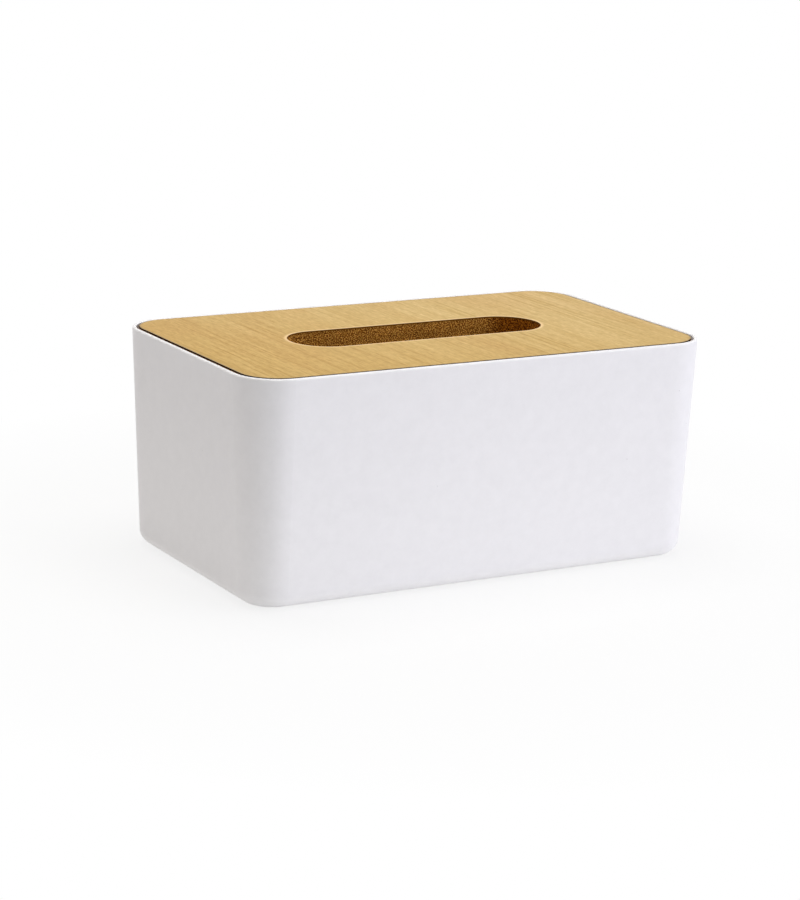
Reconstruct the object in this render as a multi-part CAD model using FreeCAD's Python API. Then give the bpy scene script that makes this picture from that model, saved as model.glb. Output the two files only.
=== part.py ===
"""Tissue box: a moulded plastic box with a flush, drop-in wooden lid that has a slot for the tissues.

The box is one moulding with drafted walls, a closed floor and ribs that carry the lid. The lid is a
fibreboard core with a wood veneer on top and a backing foil below. Four grip pads sit under the floor.
Millimetres. +Z is up, +X runs along the length, and the origin is at the middle of the footprint.
"""

import FreeCAD, Part
import math
import os

from FreeCAD import Vector

# Box, overall
BOX_LENGTH = 205.0
BOX_WIDTH = 122.0
BOX_HEIGHT = 90.0
CORNER_RADIUS = 17.5
DRAFT_ANGLE = 2.3

# Box, walls and floor
WALL = 1.5
FLOOR = 2.4
BOTTOM_ROUND = 6.5
RIM_ROUND = 0.9
MOUTH_CHAMFER = 0.3

# Ribs inside the box, which the lid rests on
RIB_THICKNESS = 2.4
RIB_DEPTH = 4.5
RIB_NOSE_ROUND = 0.8
LONG_WALL_RIB_SPACING = 110.0
SHORT_WALL_RIB_SPACING = 52.0

# Sprue mark under the floor
GATE_DIAMETER = 9.0
GATE_DEPTH = 0.5
GATE_STUB_DIAMETER = 2.0
GATE_STUB_HEIGHT = 0.3

# Lid, in layers
LID_END_GAP = 1.4
LID_SIDE_GAP = 0.8
VENEER = 0.6
CORE = 8.0
BACKING = 0.4
VENEER_EDGE_ROUND = 0.1
BACKING_EDGE_ROUND = 0.2

# Slot in the lid
SLOT_LENGTH = 112.0
SLOT_WIDTH = 30.5

# Grip pads under the floor
PAD_DIAMETER = 12.0
PAD_THICKNESS = 1.3
PAD_STANDS_OUT = 0.5
PAD_EDGE_ROUND = 0.2
PAD_CLEARANCE = 0.25
PAD_MARGIN = 6.0

# Heights and rounds that follow from the sizes above
BODY_BOTTOM = PAD_STANDS_OUT
FLOOR_TOP = BODY_BOTTOM + FLOOR
LID_SEAT = BOX_HEIGHT - VENEER - CORE - BACKING
INNER_BOTTOM_ROUND = BOTTOM_ROUND - WALL

UP = Vector(0, 0, 1)
CENTRE = Vector(0, 0, 0)


def draft_inset(z):
    """How far a drafted wall stands in from its place at the rim, at height z."""
    return (BOX_HEIGHT - z) * math.tan(math.radians(DRAFT_ANGLE))


def rounded_rectangle(half_x, half_y, radius, z):
    """A closed wire of corner arcs and the straight sides between them. A side of no length is left out."""
    edges = []
    starts = []
    ends = []
    for turn, (sign_x, sign_y) in enumerate([(1, 1), (-1, 1), (-1, -1), (1, -1)]):
        corner = Vector(sign_x * (half_x - radius), sign_y * (half_y - radius), z)
        arc_angles = [math.radians(90 * turn + step) for step in (0, 45, 90)]
        points = [corner + Vector(radius * math.cos(a), radius * math.sin(a), 0) for a in arc_angles]
        starts.append(points[0])
        ends.append(points[2])
        edges.append(Part.Arc(*points).toShape())
    for end, next_start in zip(ends, starts[1:] + starts[:1]):
        if end.distanceToPoint(next_start) > Part.Precision.confusion():
            edges.append(Part.LineSegment(end, next_start).toShape())
    return Part.Wire(Part.__sortEdges__(edges))


def box_outline(inset, z):
    """The box's plan at height z, stepped in by inset all round."""
    return rounded_rectangle(BOX_LENGTH / 2 - inset, BOX_WIDTH / 2 - inset, CORNER_RADIUS - inset, z)


def lid_outline(z):
    """The lid's plan, a gap inside the rim, with corners that keep the mean of the two gaps."""
    corner_inset = WALL + (LID_END_GAP + LID_SIDE_GAP) / 2
    half_x = BOX_LENGTH / 2 - WALL - LID_END_GAP
    half_y = BOX_WIDTH / 2 - WALL - LID_SIDE_GAP
    return rounded_rectangle(half_x, half_y, CORNER_RADIUS - corner_inset, z)


def edges_at(shape, z):
    """The edges of a shape that lie flat at height z."""
    near = Part.Precision.confusion() * 100
    return [e for e in shape.Edges if abs(e.BoundBox.ZMin - z) < near and abs(e.BoundBox.ZMax - z) < near]


def ruled_solid(lower, upper):
    """The solid between two outlines, with straight sides."""
    return Part.makeLoft([lower, upper], True, True)


def raised(wire, height):
    """The wire's face raised by height."""
    return Part.Face(wire).extrude(UP * height)


def outer_form():
    """The box's outside: drafted walls, a round at the floor, and one at the rim that leaves a flat strip."""
    form = ruled_solid(box_outline(draft_inset(BODY_BOTTOM), BODY_BOTTOM), box_outline(0, BOX_HEIGHT))
    form = form.makeFillet(BOTTOM_ROUND, edges_at(form, BODY_BOTTOM))
    return form.makeFillet(min(RIM_ROUND, WALL - 2 * MOUTH_CHAMFER), edges_at(form, BOX_HEIGHT))


def cavity_form():
    """The space inside the box, with a lead-in chamfer at its mouth that runs on above the rim."""
    chamfer_start = BOX_HEIGHT - MOUTH_CHAMFER
    neck = box_outline(WALL + draft_inset(chamfer_start), chamfer_start)
    form = ruled_solid(box_outline(WALL + draft_inset(FLOOR_TOP), FLOOR_TOP), neck)
    form = form.makeFillet(INNER_BOTTOM_ROUND, edges_at(form, FLOOR_TOP))
    flare = ruled_solid(neck, box_outline(WALL - 2 * MOUTH_CHAMFER, BOX_HEIGHT + MOUTH_CHAMFER))
    return form.fuse(flare)


def rib_block():
    """One rib as a block against the plane x = 0, its rounded nose towards -X, up to the lid's seat."""
    reach = WALL + draft_inset(LID_SEAT) + RIB_DEPTH
    block = Part.makeBox(reach, RIB_THICKNESS, LID_SEAT, Vector(-reach, -RIB_THICKNESS / 2, 0))
    upright = [e for e in block.Edges if e.BoundBox.ZLength > LID_SEAT / 2]
    nose = [e for e in upright if e.BoundBox.XMin < -reach / 2]
    return block.makeFillet(min(RIB_NOSE_ROUND, RIB_THICKNESS / 3), nose)


def rib_blocks():
    """Two ribs on each wall. The blocks run on into the wall and the floor."""
    block = rib_block()
    blocks = []
    for wall_turn, wall_distance, spacing in (
        (0, BOX_LENGTH / 2, SHORT_WALL_RIB_SPACING),
        (90, BOX_WIDTH / 2, LONG_WALL_RIB_SPACING),
        (180, BOX_LENGTH / 2, SHORT_WALL_RIB_SPACING),
        (270, BOX_WIDTH / 2, LONG_WALL_RIB_SPACING),
    ):
        for side in (-1, 1):
            rib = block.copy()
            rib.translate(Vector(wall_distance, side * spacing / 2, 0))
            rib.rotate(CENTRE, UP, wall_turn)
            blocks.append(rib)
    return blocks


def gate_recess():
    """The dimple under the middle of the floor, less the stub of the sprue that stands in it."""
    dimple_top = BODY_BOTTOM + GATE_DEPTH
    dimple = Part.makeCylinder(GATE_DIAMETER / 2, dimple_top)
    stub = Part.makeCylinder(GATE_STUB_DIAMETER / 2, GATE_STUB_HEIGHT, UP * (dimple_top - GATE_STUB_HEIGHT))
    return dimple.cut(stub)


def pad_places():
    """Name and centre of each grip pad, a margin inside the flat part of the underside."""
    inset = draft_inset(BODY_BOTTOM) + BOTTOM_ROUND + PAD_MARGIN + PAD_DIAMETER / 2
    places = {}
    for depth_name, sign_y in (("front", -1), ("back", 1)):
        for side_name, sign_x in (("left", -1), ("right", 1)):
            centre = Vector(sign_x * (BOX_LENGTH / 2 - inset), sign_y * (BOX_WIDTH / 2 - inset), 0)
            places[f"foot_pad_{depth_name}_{side_name}"] = centre
    return places


def pad_recess(centre):
    return Part.makeCylinder(PAD_DIAMETER / 2 + PAD_CLEARANCE, PAD_THICKNESS, centre)


def foot_pad(centre):
    """A grip pad from the surface that the box stands on up to the top of its recess."""
    pad = Part.makeCylinder(PAD_DIAMETER / 2, PAD_THICKNESS, centre)
    return pad.makeFillet(PAD_EDGE_ROUND, edges_at(pad, 0))


def box_body():
    cavity = cavity_form().cut(rib_blocks())
    recesses = [pad_recess(centre) for centre in pad_places().values()]
    return outer_form().cut([cavity, gate_recess(), *recesses])


def lid_layer(z, thickness):
    """A layer of the lid with the slot through it, from height z up."""
    slot = rounded_rectangle(SLOT_LENGTH / 2, SLOT_WIDTH / 2, SLOT_WIDTH / 2, z)
    return raised(lid_outline(z), thickness).cut(raised(slot, thickness))


def lid_veneer():
    layer = lid_layer(BOX_HEIGHT - VENEER, VENEER)
    return layer.makeFillet(min(VENEER_EDGE_ROUND, VENEER / 2), edges_at(layer, BOX_HEIGHT))


def lid_core():
    return lid_layer(LID_SEAT + BACKING, CORE)


def lid_backing():
    layer = lid_layer(LID_SEAT, BACKING)
    return layer.makeFillet(min(BACKING_EDGE_ROUND, BACKING / 2), edges_at(layer, LID_SEAT))


def main():
    pieces = {
        "box_body": box_body(),
        "lid_core": lid_core(),
        "lid_veneer": lid_veneer(),
        "lid_backing": lid_backing(),
    }
    for name, centre in pad_places().items():
        pieces[name] = foot_pad(centre)
    os.makedirs("parts", exist_ok=True)
    for name, shape in pieces.items():
        (solid,) = shape.Solids
        print(f"{name}: {solid.Volume:.1f} mm3, valid {solid.isValid()}")
        solid.exportStep(os.path.join("parts", name + ".step"))


main()
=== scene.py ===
"""Finishes, floor, light and camera for the tissue box. Metres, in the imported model's own frame."""

import math

import bpy
from mathutils import Matrix, Vector


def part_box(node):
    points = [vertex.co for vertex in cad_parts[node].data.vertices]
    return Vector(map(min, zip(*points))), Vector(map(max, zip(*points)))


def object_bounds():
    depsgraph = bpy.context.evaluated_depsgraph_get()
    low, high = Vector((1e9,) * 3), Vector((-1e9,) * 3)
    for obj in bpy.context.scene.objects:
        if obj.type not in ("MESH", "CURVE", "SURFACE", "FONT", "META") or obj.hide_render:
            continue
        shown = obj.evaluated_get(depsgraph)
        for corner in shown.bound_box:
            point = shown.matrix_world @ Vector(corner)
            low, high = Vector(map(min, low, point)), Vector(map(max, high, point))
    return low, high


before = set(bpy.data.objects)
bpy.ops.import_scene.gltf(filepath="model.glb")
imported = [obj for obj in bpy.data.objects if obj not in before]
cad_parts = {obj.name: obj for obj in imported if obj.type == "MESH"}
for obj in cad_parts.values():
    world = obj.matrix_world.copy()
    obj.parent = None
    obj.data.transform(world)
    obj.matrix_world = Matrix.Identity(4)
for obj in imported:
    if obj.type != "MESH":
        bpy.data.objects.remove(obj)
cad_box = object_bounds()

# Camera, seen from the middle of the box: where it stands, which way it looks back, and its lens
CAMERA_AZIMUTH = -29.97
CAMERA_ELEVATION = 13.72
CAMERA_DISTANCE = 1.100
CAMERA_FACING = (-29.70, 13.93)
CAMERA_ROLL = 1.67
LENS_MM = 109.07
SENSOR_MM = 36.0

# Floor: a white table with a soft glow around the box. Near the box it shows its own shade, with the shadow
FLOOR_REACH = 16.0
FLOOR_COLOR = (0.93, 0.93, 0.93, 1.0)
GLOW = 0.138
GLOW_COLOR = (0.99, 1.0, 0.93, 1.0)
GLOW_FULL_TO = 0.12
GLOW_GONE_AT = 0.25
SHADOW_SHARE = 0.22
SHADOW_FULL_TO = 0.11
SHADOW_GONE_AT = 0.28

# Light: name, azimuth, elevation, distance, width, height, power in watts, colour
AMBIENT = 0.345
LAMPS = (
    ("key", 45.0, 15.0, 1.4, 1.4, 0.8, 10.1, (0.868, 0.872, 1.0)),
    ("fill", -110.0, 15.0, 1.4, 0.8, 0.8, 1.05, (1.0, 0.75, 0.68)),
    ("overhead", 0.0, 90.0, 0.5, 0.4, 0.4, 1.68, (1.0, 0.985, 0.945)),
    ("back", -165.0, 40.0, 1.4, 0.8, 0.8, 1.45, (1.0, 1.0, 1.0)),
)

# Noise: the range that most of it lies in
NOISE_LOW = 0.3
NOISE_HIGH = 0.7

# Plastic: cells a metre of its patterns, the two shades of its mottle, and how rough it is
PLASTIC_TEXTURE = 2600.0
PLASTIC_WAVES = 45.0
PLASTIC_MOTTLE = 190.0
PLASTIC_SPECKS = 70.0
PLASTIC_DARK = (0.849, 0.839, 0.844, 1.0)
PLASTIC_PALE = (0.883, 0.873, 0.878, 1.0)
PLASTIC_ROUGHNESS = (0.42, 0.52)

# Plastic: radius of a speck and where it has faded, in cells of that pattern, and its shade
SPECK_RADIUS = 0.012
SPECK_GONE_AT = 0.022
SPECK_SHADE = 0.80

# Plastic: how far from the rim and the lower edge it is polished, and by how much it is less rough there
POLISH_REACH = 0.006
POLISH = 0.12

# Veneer: cells a metre of its patterns, across the grain, along it and in depth
STREAKS = (620.0, 13.0, 620.0)
DASHES = (1100.0, 200.0, 1100.0)
PATCHES = (26.0, 12.0, 26.0)
BANDS = (45.0, 3.0, 45.0)
TINTS = (20.0, 8.0, 20.0)
TINTS_LAYER = 466.0

# Veneer: its mean colour, its darkest and palest streaks, and their share in weak and in strong patches
VENEER_TONE = (0.543, 0.355, 0.117, 1.0)
STREAK_STOPS = (0.30, 0.46, 0.70)
STREAK_DARK = (0.440, 0.262, 0.055, 1.0)
STREAK_PALE = (0.640, 0.445, 0.174, 1.0)
STREAK_SHARE = (0.35, 1.0)
PATCH_RANGE = (0.38, 0.58)

# Veneer: what dashes, bands, tints and a painted sheen towards its far end multiply it by, and how rough it
# is
DASH_SHADES = ((0.850, 0.820, 0.730, 1.0), (1.110, 1.135, 1.220, 1.0))
BAND_SHADES = ((0.988, 0.985, 0.975, 1.0), (1.012, 1.015, 1.025, 1.0))
TINT_RANGE = (0.36, 0.50)
TINT_SHADE = (0.980, 0.935, 0.905, 1.0)
SHEEN_TOWARDS = (1.0, 1.0, 0.0)
PAINTED_SHEEN_SHADES = ((0.980, 0.964, 0.916, 1.0), (1.075, 1.152, 1.40, 1.0))
VENEER_ROUGHNESS = (0.55, 0.65)

# Veneer: a painted shade, a brown line along its outline for the dark gap beside it
GAP_SHADE_FULL = 0.0003
GAP_SHADE_GONE = 0.0009
GAP_SHADE_SHARE = 0.75
GAP_SHADE_TONE = (0.33, 0.24, 0.13, 1.0)

# Veneer: a painted highlight, a pale line along the slot's edge
HIGHLIGHT_FULL = 0.0006
HIGHLIGHT_GONE = 0.0015
HIGHLIGHT_SHARE = 0.9
PAINTED_HIGHLIGHT_TONE = (0.80, 0.57, 0.29, 1.0)

# Veneer: the upright cuts, near black on its outline as painted shade of the gap, and brown along the slot
GAP_SHADE_DARK = (0.018, 0.007, 0.002, 1.0)
BROWNED = (0.16, 0.06, 0.006, 1.0)

# A face counts as upright where its normal rises by less than the first, and as level above the second
UPRIGHT_BELOW = 0.85
LEVEL_ABOVE = 0.98

# Board: cells a metre of its specks and clouds, their colours and shades, and how rough it is
BOARD_SPECKS = 2300.0
BOARD_CLOUDS = 160.0
BOARD_STOPS = (
    (0.38, (0.065, 0.015, 0.001, 1.0)),
    (0.50, (0.300, 0.104, 0.006, 1.0)),
    (0.62, (0.870, 0.440, 0.095, 1.0)),
)
BOARD_CLOUD_SHADES = (0.88, 1.08)
BOARD_ROUGHNESS = (0.80, 0.95)

# Board: its tone at heights from its lower face (0) to its upper one (1), and a painted shade at the slot's
# right end
BOARD_SHADES = ((0.0, 0.75), (0.12, 1.04), (0.5, 0.97), (0.88, 1.04), (1.0, 0.80))
SLOT_END_SHADE = (0.64, 0.43, 0.18, 1.0)

# Backing foil: cells a metre of its fibres and blotches, their colours and shades, and how rough it is
FOIL_FIBRES = 900.0
FOIL_BLOTCHES = 60.0
FOIL_DARK = (0.42, 0.28, 0.14, 1.0)
FOIL_PALE = (0.50, 0.345, 0.18, 1.0)
FOIL_FIBRE_SHADES = (0.92, 1.04)
FOIL_ROUGHNESS = (0.6, 0.72)

# Rubber: cells a metre of its grain and clouds, its shades, and how rough it is
RUBBER_GRAIN = 2600.0
RUBBER_CLOUDS = 300.0
RUBBER_SHADES = (0.46, 0.54)
RUBBER_ROUGHNESS = (0.7, 0.85)

# Reading sizes from the veneer: points this close count as level, and the slot lies further in than this
NEAR = 0.00002
LID_BORDER = 0.02

WHITE = (1.0, 1.0, 1.0, 1.0)


def feed(tree, socket, value):
    """Links another node's output to a socket, or sets the socket's own value."""
    if isinstance(value, bpy.types.NodeSocket):
        tree.links.new(value, socket)
    else:
        socket.default_value = value


def node(tree, kind, inputs=None, **properties):
    """Adds a shader node. Each input takes a value, or another node's output as a link."""
    made = tree.nodes.new("ShaderNode" + kind)
    for name, value in properties.items():
        setattr(made, name, value)
    for name, value in (inputs or {}).items():
        feed(tree, made.inputs[name], value)
    return made


def combine(tree, operation, first, second):
    """What a Math node makes of two numbers."""
    return node(tree, "Math", {0: first, 1: second}, operation=operation).outputs["Value"]


def vectors(tree, operation, output, *inputs):
    """What a Vector Math node makes of one vector or two."""
    return node(tree, "VectorMath", dict(enumerate(inputs)), operation=operation).outputs[output]


def place(tree):
    """Where a point lies in the object's own space."""
    return node(tree, "TexCoord").outputs["Object"]


def new_material(name):
    """An empty node material with its output: (material, tree, output)."""
    material = bpy.data.materials.new(name)
    material.use_nodes = True
    tree = material.node_tree
    tree.nodes.clear()
    return material, tree, tree.nodes.new("ShaderNodeOutputMaterial")


def surface(tree, output, inputs):
    """Ends a material in one Principled surface."""
    shader = node(tree, "BsdfPrincipled", inputs)
    tree.links.new(shader.outputs["BSDF"], output.inputs["Surface"])


def object_noise(tree, cells, detail=2.0, roughness=0.5, layer=0.0):
    """Noise with so many cells a metre along each of the object's axes. Another layer has other patches."""
    moved = {"Vector": place(tree), "Scale": cells, "Location": (0.0, 0.0, layer)}
    scaled = node(tree, "Mapping", moved).outputs["Vector"]
    inputs = {"Vector": scaled, "Scale": 1.0, "Detail": detail, "Roughness": roughness}
    return node(tree, "TexNoise", inputs).outputs["Fac"]


def even(cells):
    """The same number of cells along each axis."""
    return (cells, cells, cells)


def ramp(tree, factor, *stops):
    """A colour ramp over a factor, from (position, colour) stops."""
    made = node(tree, "ValToRGB", {"Fac": factor})
    elements = made.color_ramp.elements
    while len(elements) < len(stops):
        elements.new(0.5)
    for element, (position, color) in zip(elements, stops):
        element.position = position
        element.color = color
    return made.outputs["Color"]


def shaded(tree, noise, low, high):
    """A colour ramp from one colour to another over the range of a noise."""
    return ramp(tree, noise, (NOISE_LOW, low), (NOISE_HIGH, high))


def span(tree, value, low, high, from_low=NOISE_LOW, from_high=NOISE_HIGH):
    """A value mapped from one range to another, and held inside it."""
    inputs = {"Value": value, "From Min": from_low, "From Max": from_high, "To Min": low, "To Max": high}
    return node(tree, "MapRange", inputs).outputs["Result"]


def mix(tree, factor, color_a, color_b, blend="MIX"):
    """Two colours mixed. Each may be a colour or another node's output."""
    made = node(tree, "Mix", data_type="RGBA", blend_type=blend)
    feed(tree, made.inputs["Factor"], factor)
    sockets = [s for s in made.inputs if s.type == "RGBA"]
    for socket, color in zip(sockets, (color_a, color_b)):
        feed(tree, socket, color)
    return next(s for s in made.outputs if s.type == "RGBA")


def multiply(tree, color, *layers):
    """A colour times each of the layers."""
    for layer in layers:
        color = mix(tree, 1.0, color, layer, "MULTIPLY")
    return color


def grey(level):
    """A grey of this level."""
    return (level, level, level, 1.0)


def bump(tree, height, strength, depth, **under):
    """The surface's normal, bumped by a height. Normal= puts the bumps on another bumped normal."""
    inputs = {"Height": height, "Strength": strength, "Distance": depth, **under}
    return node(tree, "Bump", inputs).outputs["Normal"]


def upright(tree):
    """1 on faces that stand upright, and 0 on level ones."""
    normal = node(tree, "TexCoord").outputs["Normal"]
    lean = node(tree, "SeparateXYZ", {"Vector": normal}).outputs["Z"]
    return span(tree, lean, 1.0, 0.0, UPRIGHT_BELOW, LEVEL_ABOVE)


def rounded_distance(tree, half_x, half_y, radius):
    """How far a point lies outside a rounded rectangle about the origin, in plan. Exact near its edge."""
    folded = vectors(tree, "ABSOLUTE", "Vector", place(tree))
    beyond = vectors(tree, "SUBTRACT", "Vector", folded, (half_x - radius, half_y - radius, 0.0))
    kept = vectors(tree, "MAXIMUM", "Vector", beyond, (0.0, 0.0, 0.0))
    level = vectors(tree, "MULTIPLY", "Vector", kept, (1.0, 1.0, 0.0))
    return combine(tree, "SUBTRACT", vectors(tree, "LENGTH", "Value", level), radius)


def plan_sizes(points):
    """Half length, half width and corner radius of a rounded rectangle, from points on it."""
    half_x = max(abs(p.x) for p in points)
    half_y = max(abs(p.y) for p in points)
    straight = max(abs(p.y) for p in points if abs(p.x) > half_x - NEAR)
    return half_x, half_y, half_y - straight


def veneer_plans():
    """The sizes of the lid's outline and of its slot, from the flat top of the veneer."""
    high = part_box("lid_veneer")[1]
    points = [v.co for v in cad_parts["lid_veneer"].data.vertices if v.co.z > high.z - NEAR]
    inner = [p for p in points if abs(p.x) < high.x - LID_BORDER and abs(p.y) < high.y - LID_BORDER]
    outer = [p for p in points if abs(p.x) > high.x - LID_BORDER or abs(p.y) > high.y - LID_BORDER]
    return plan_sizes(outer), plan_sizes(inner)


def beside_slot(tree, outside):
    """1 on the slot's wall and close to it, and 0 further out."""
    return span(tree, outside, 1.0, 0.0, HIGHLIGHT_GONE, 2 * HIGHLIGHT_GONE)


def polished(tree):
    """How much the plastic is polished: along the rim by hands, and along the lower edge by the table."""
    low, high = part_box("box_body")
    height = node(tree, "SeparateXYZ", {"Vector": place(tree)}).outputs["Z"]
    rim = span(tree, height, 0.0, POLISH, high.z - POLISH_REACH, high.z)
    foot = span(tree, height, POLISH, 0.0, low.z, low.z + POLISH_REACH)
    return combine(tree, "MAXIMUM", rim, foot)


def box_plastic():
    """Satin white plastic: a fine moulded texture, slight waviness, a few faint specks and polished edges."""
    material, tree, output = new_material("satin_white_plastic")
    texture = object_noise(tree, even(PLASTIC_TEXTURE), roughness=0.6)
    waviness = object_noise(tree, even(PLASTIC_WAVES), detail=1.0)
    mottle = object_noise(tree, even(PLASTIC_MOTTLE), detail=4.0, roughness=0.75)
    speck = node(tree, "TexVoronoi", {"Vector": place(tree), "Scale": PLASTIC_SPECKS}).outputs["Distance"]
    specks = ramp(tree, speck, (SPECK_RADIUS, grey(SPECK_SHADE)), (SPECK_GONE_AT, WHITE))
    wavy = bump(tree, waviness, strength=0.02, depth=0.002)
    surface(tree, output, {
        "Base Color": multiply(tree, shaded(tree, mottle, PLASTIC_DARK, PLASTIC_PALE), specks),
        "Roughness": combine(tree, "SUBTRACT", span(tree, mottle, *PLASTIC_ROUGHNESS), polished(tree)),
        "IOR": 1.49,
        "Normal": bump(tree, texture, strength=0.12, depth=0.0001, Normal=wavy),
    })
    return material


def veneer_wood(tree, streak):
    """The colour of the wood: fine streaks along Y, stronger in patches, short dashes and a painted sheen
    that pales the far end.
    """
    dash = object_noise(tree, DASHES, roughness=0.7)
    patch = object_noise(tree, PATCHES)
    tint = object_noise(tree, TINTS, detail=3.0, layer=TINTS_LAYER)
    band = object_noise(tree, BANDS, detail=1.0)
    # Painted sheen: the veneer grows paler and bluer towards its far end, standing in for reflected light
    along = vectors(tree, "DOT_PRODUCT", "Value", place(tree), SHEEN_TOWARDS)
    painted_sheen = span(tree, along, 0.0, 1.0, cad_box[0].x, cad_box[1].x)
    strong = ramp(tree, streak, *zip(STREAK_STOPS, (STREAK_DARK, VENEER_TONE, STREAK_PALE)))
    color = mix(tree, span(tree, patch, *STREAK_SHARE, *PATCH_RANGE), VENEER_TONE, strong)
    return multiply(
        tree,
        color,
        shaded(tree, dash, *DASH_SHADES),
        shaded(tree, band, *BAND_SHADES),
        ramp(tree, tint, *zip(TINT_RANGE, (TINT_SHADE, WHITE))),
        ramp(tree, painted_sheen, *zip((0.0, 1.0), PAINTED_SHEEN_SHADES)),
    )


def wood_veneer(outline, slot):
    """Pale straight-grained veneer, with painted shade along its outline and its outer cuts, and a painted
    highlight along the slot.
    """
    material, tree, output = new_material("straight_grain_veneer")
    streak = object_noise(tree, STREAKS, detail=4.0, roughness=0.68)
    inside = rounded_distance(tree, *outline)
    outside = rounded_distance(tree, *slot)
    # Painted shade: a brown line just inside the outline stands in for the dark gap beside the lid
    painted_gap_shade = span(tree, inside, 0.0, GAP_SHADE_SHARE, -GAP_SHADE_GONE, -GAP_SHADE_FULL)
    # Painted highlight: a pale line along the slot's edge
    slot_highlight = span(tree, outside, HIGHLIGHT_SHARE, 0.0, HIGHLIGHT_FULL, HIGHLIGHT_GONE)
    gap_shaded = mix(tree, painted_gap_shade, veneer_wood(tree, streak), GAP_SHADE_TONE)
    top = mix(tree, slot_highlight, gap_shaded, PAINTED_HIGHLIGHT_TONE)
    cut = upright(tree)
    # Painted shade: the outline's upright cuts are near black, standing in for the shade in the gap
    gap_shade_and_cut_color = mix(tree, beside_slot(tree, outside), GAP_SHADE_DARK, BROWNED)
    surface(tree, output, {
        "Base Color": mix(tree, cut, top, gap_shade_and_cut_color),
        "Roughness": combine(tree, "MAXIMUM", span(tree, streak, *VENEER_ROUGHNESS), cut),
        "Specular IOR Level": 0.12,
        "Normal": bump(tree, streak, strength=0.15, depth=0.0002),
    })
    return material


def board_tone_and_end_shade(tree, slot):
    """The board's tone: darker at its dense faces, with a painted shade at the slot's right end."""
    low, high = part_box("lid_core")
    axes = node(tree, "SeparateXYZ", {"Vector": place(tree)}).outputs
    depth = span(tree, axes["Z"], 0.0, 1.0, low.z, high.z)
    dense = ramp(tree, depth, *[(position, grey(shade)) for position, shade in BOARD_SHADES])
    # Painted shade: the slot's right end is darkened and browned
    half_x, _, radius = slot
    round_end = span(tree, axes["X"], 0.0, 1.0, half_x - radius, half_x - radius / 2)
    painted_end_shade = combine(tree, "MULTIPLY", round_end, beside_slot(tree, rounded_distance(tree, *slot)))
    return multiply(tree, dense, ramp(tree, painted_end_shade, (0.0, WHITE), (1.0, SLOT_END_SHADE)))


def fibreboard(slot):
    """Cut edge of a brown fibreboard: pale and dark fibre specks."""
    material, tree, output = new_material("fibreboard_edge")
    specks = object_noise(tree, even(BOARD_SPECKS), detail=1.0, roughness=0.6)
    clouds = object_noise(tree, even(BOARD_CLOUDS))
    cloudy = shaded(tree, clouds, *map(grey, BOARD_CLOUD_SHADES))
    surface(tree, output, {
        "Base Color": multiply(tree, ramp(tree, specks, *BOARD_STOPS), cloudy, board_tone_and_end_shade(tree, slot)),
        "Roughness": span(tree, specks, *BOARD_ROUGHNESS),
        "Specular IOR Level": 0.03,
        "Normal": bump(tree, specks, strength=0.5, depth=0.0003),
    })
    return material


def backing_foil():
    """Dull brown paper foil with a faint grain."""
    material, tree, output = new_material("backing_paper_foil")
    fibre = object_noise(tree, even(FOIL_FIBRES), detail=4.0)
    blotch = object_noise(tree, even(FOIL_BLOTCHES), detail=3.0)
    fine = shaded(tree, fibre, *map(grey, FOIL_FIBRE_SHADES))
    surface(tree, output, {
        "Base Color": multiply(tree, shaded(tree, blotch, FOIL_DARK, FOIL_PALE), fine),
        "Roughness": span(tree, blotch, *FOIL_ROUGHNESS),
        "Normal": bump(tree, fibre, strength=0.2, depth=0.0001),
    })
    return material


def grip_rubber():
    """Soft grey rubber with a fine grain."""
    material, tree, output = new_material("grip_rubber")
    grain = object_noise(tree, even(RUBBER_GRAIN), detail=3.0)
    cloud = object_noise(tree, even(RUBBER_CLOUDS))
    surface(tree, output, {
        "Base Color": shaded(tree, cloud, *map(grey, RUBBER_SHADES)),
        "Roughness": span(tree, grain, *RUBBER_ROUGHNESS),
        "Normal": bump(tree, grain, strength=0.3, depth=0.0001),
    })
    return material


def dress(material, *nodes):
    """Gives CAD nodes a finish."""
    for name in nodes:
        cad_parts[name].material_slots[0].material = material


def direct_rays(tree):
    """1 for rays that see a thing itself, in a reflection or through glass, and 0 for its light on others."""
    rays = node(tree, "LightPath").outputs
    seen = combine(tree, "MAXIMUM", rays["Is Camera Ray"], rays["Is Glossy Ray"])
    return combine(tree, "MAXIMUM", seen, rays["Is Transmission Ray"])


def floor_material():
    """White to the eye apart from the shadow, a pale lit table to the light, and open from below."""
    material, tree, output = new_material("floor_white")
    distance = vectors(tree, "LENGTH", "Value", place(tree))
    share = span(tree, distance, SHADOW_SHARE, 0.0, SHADOW_FULL_TO, SHADOW_GONE_AT)
    plain = node(tree, "BsdfDiffuse", {"Color": FLOOR_COLOR}).outputs["BSDF"]
    white = node(tree, "Emission", {"Color": WHITE, "Strength": 1.0}).outputs["Emission"]
    seen = node(tree, "MixShader", {"Fac": share, 1: white, 2: plain}).outputs["Shader"]
    strength = span(tree, distance, GLOW, 0.0, GLOW_FULL_TO, GLOW_GONE_AT)
    glow = node(tree, "Emission", {"Color": GLOW_COLOR, "Strength": strength}).outputs["Emission"]
    lit = node(tree, "AddShader", {0: plain, 1: glow}).outputs["Shader"]
    above = node(tree, "MixShader", {"Fac": direct_rays(tree), 1: lit, 2: seen}).outputs["Shader"]
    below = node(tree, "BsdfTransparent").outputs["BSDF"]
    under = node(tree, "NewGeometry").outputs["Backfacing"]
    mixed = node(tree, "MixShader", {"Fac": under, 1: above, 2: below}).outputs["Shader"]
    tree.links.new(mixed, output.inputs["Surface"])
    return material


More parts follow.
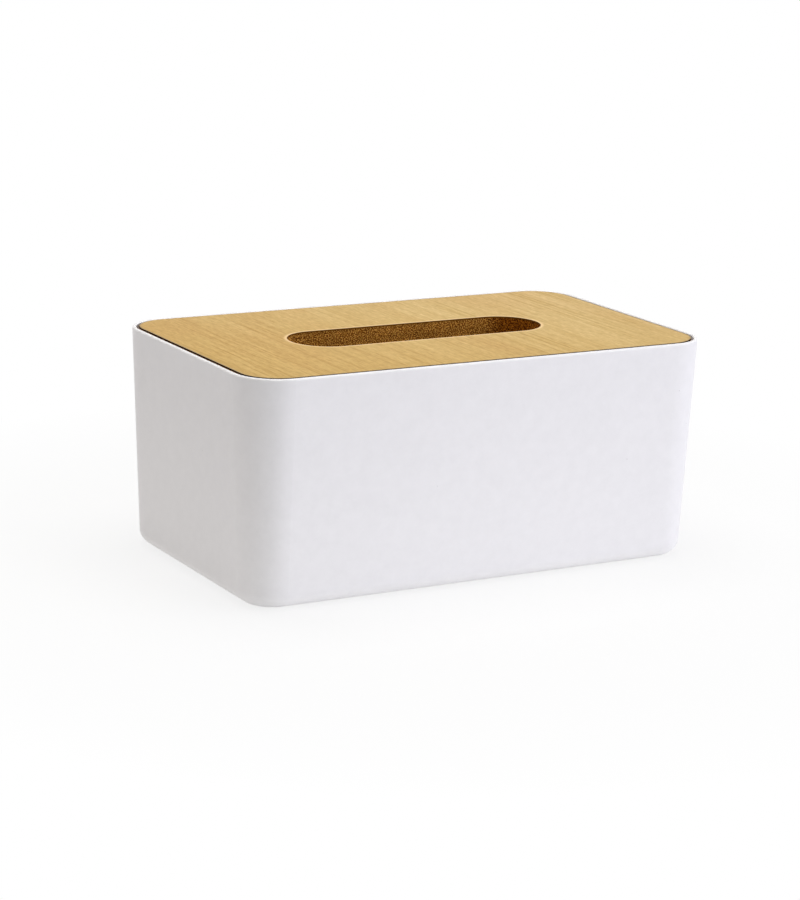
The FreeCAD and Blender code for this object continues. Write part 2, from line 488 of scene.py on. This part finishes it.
def make_floor():
    """One wide triangle, so that no seam runs under the box."""
    mesh = bpy.data.meshes.new("floor")
    turns = [math.radians(120 * k) for k in range(3)]
    corners = [(FLOOR_REACH * math.cos(t), FLOOR_REACH * math.sin(t), 0.0) for t in turns]
    mesh.from_pydata(corners, [], [(0, 1, 2)])
    mesh.materials.append(floor_material())
    floor = bpy.data.objects.new("floor", mesh)
    bpy.context.scene.collection.objects.link(floor)


def make_world():
    """White behind the object, and a plain even light around it."""
    world = bpy.data.worlds.new("studio")
    world.use_nodes = True
    tree = world.node_tree
    tree.nodes.clear()
    around = node(tree, "Background", {"Color": WHITE, "Strength": AMBIENT}).outputs["Background"]
    behind = node(tree, "Background", {"Color": WHITE, "Strength": 1.0}).outputs["Background"]
    mixed = node(tree, "MixShader", {"Fac": direct_rays(tree), 1: around, 2: behind}).outputs["Shader"]
    output = tree.nodes.new("ShaderNodeOutputWorld")
    tree.links.new(mixed, output.inputs["Surface"])
    bpy.context.scene.world = world


def facing(azimuth, elevation):
    """The direction from the box to a viewer at these angles, in degrees. Azimuth 0 looks along +Y."""
    a = math.radians(azimuth)
    e = math.radians(elevation)
    return Vector((math.sin(a) * math.cos(e), -math.cos(a) * math.cos(e), math.sin(e)))


def make_lamps(target):
    """Soft lamps that face the middle of the box."""
    for name, azimuth, elevation, distance, width, height, power, color in LAMPS:
        lamp = bpy.data.lights.new(name, "AREA")
        lamp.shape = "RECTANGLE"
        lamp.size = width
        lamp.size_y = height
        lamp.energy = power
        lamp.color = color
        holder = bpy.data.objects.new(name, lamp)
        towards = facing(azimuth, elevation)
        holder.location = target + towards * distance
        holder.rotation_euler = towards.to_track_quat("Z", "Y").to_euler()
        bpy.context.scene.collection.objects.link(holder)


def make_camera(target):
    """The camera, which looks past the middle of the box and is rolled a little."""
    lens = bpy.data.cameras.new("camera")
    lens.sensor_width = SENSOR_MM
    lens.lens = LENS_MM
    camera = bpy.data.objects.new("camera", lens)
    back = facing(*CAMERA_FACING)
    right = Vector((0, 0, 1)).cross(back).normalized()
    up = back.cross(right)
    turned = Matrix((right, up, back)).transposed() @ Matrix.Rotation(math.radians(CAMERA_ROLL), 3, "Z")
    position = target + facing(CAMERA_AZIMUTH, CAMERA_ELEVATION) * CAMERA_DISTANCE
    camera.matrix_world = Matrix.Translation(position) @ turned.to_4x4()
    bpy.context.scene.collection.objects.link(camera)
    bpy.context.scene.camera = camera


middle = (cad_box[0] + cad_box[1]) / 2
pads = [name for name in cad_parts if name.startswith("foot_pad")]
lid_outline, lid_slot = veneer_plans()
dress(box_plastic(), "box_body")
dress(wood_veneer(lid_outline, lid_slot), "lid_veneer")
dress(fibreboard(lid_slot), "lid_core")
dress(backing_foil(), "lid_backing")
dress(grip_rubber(), *pads)
make_floor()
make_world()
make_lamps(middle)
make_camera(middle)
bpy.context.scene.view_settings.view_transform = "Standard"
